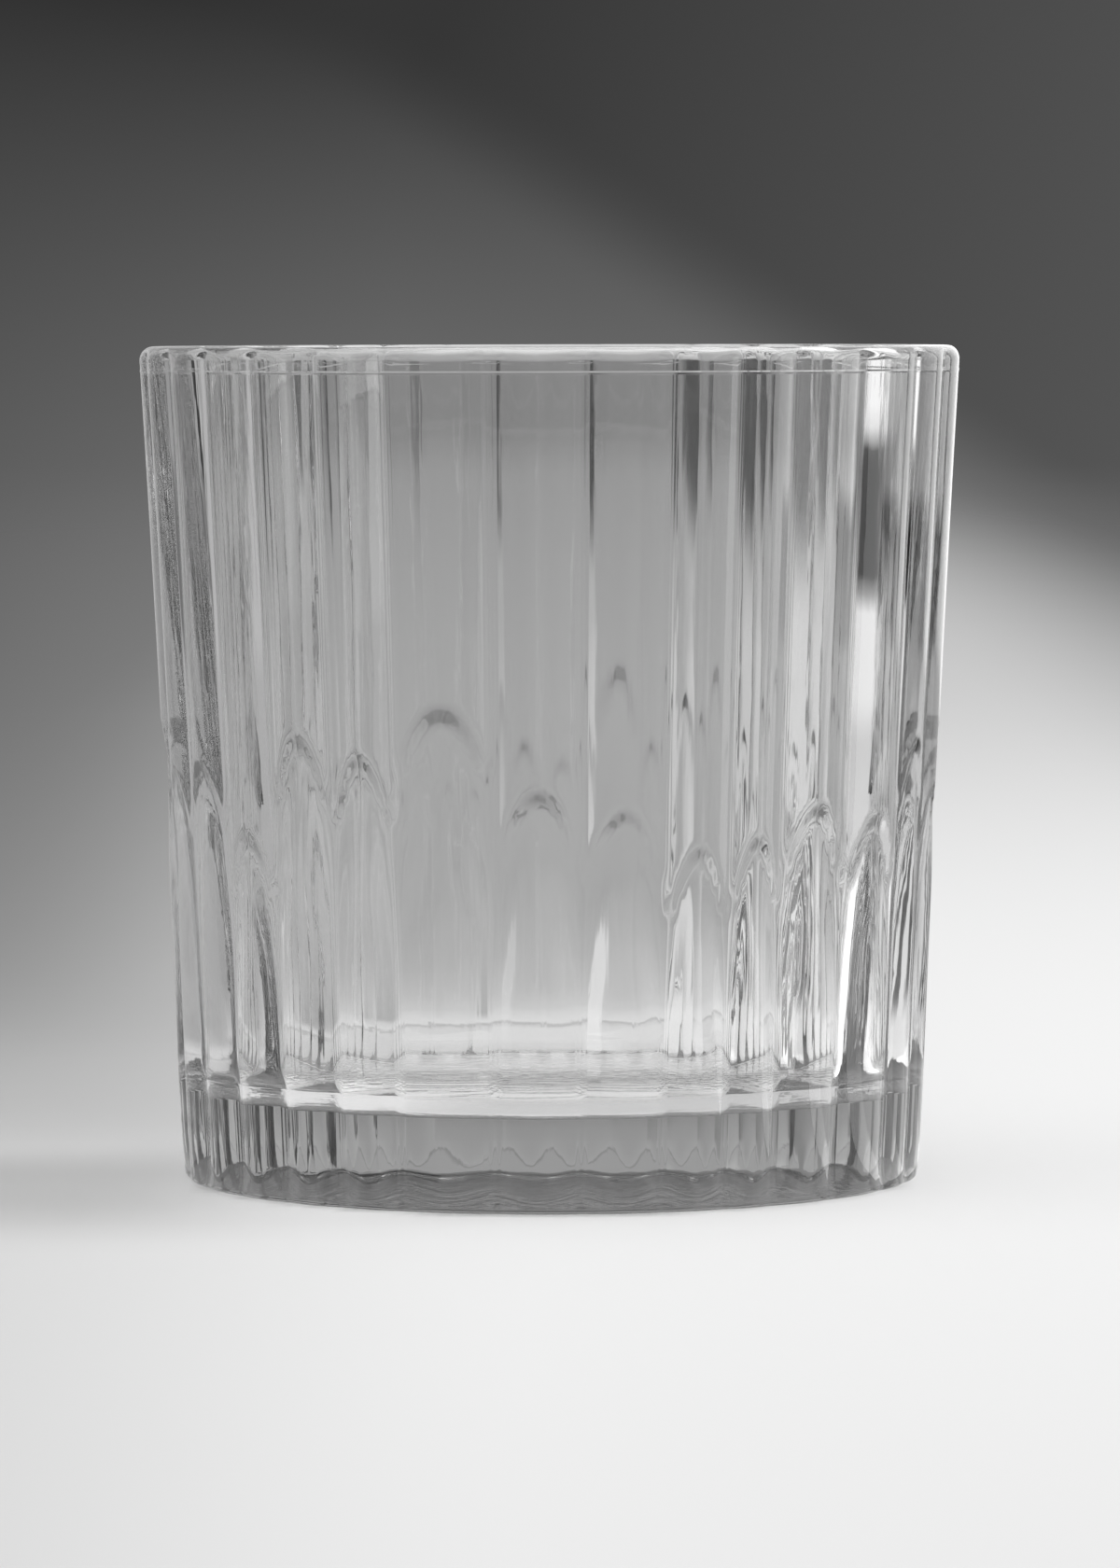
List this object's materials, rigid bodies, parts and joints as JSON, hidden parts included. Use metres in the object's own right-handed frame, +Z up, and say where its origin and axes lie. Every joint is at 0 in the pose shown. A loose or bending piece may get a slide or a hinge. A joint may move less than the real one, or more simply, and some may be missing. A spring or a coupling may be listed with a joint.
{
  "type": "rocks glass",
  "caption": "Tapered rocks glass of clear pressed glass with convex vertical flutes, a smooth inside, a thick heavy base and a rounded lip, for drinks over ice.",
  "frame": {"origin": "centre of the foot, on the surface that the glass stands on", "axes": "+Z up along the glass's axis, -Y towards the viewer of the picture, +X to the viewer's right"},
  "size_m": [0.0886, 0.0886, 0.09],
  "materials": {
    "glass": "clear polished soda-lime glass, fire-polished lip, stippled matt underside"
  },
  "bodies": {
    "root": {"base": "glass", "fluted_wall": "glass", "rim": "glass"}
  },
  "joints": []
}
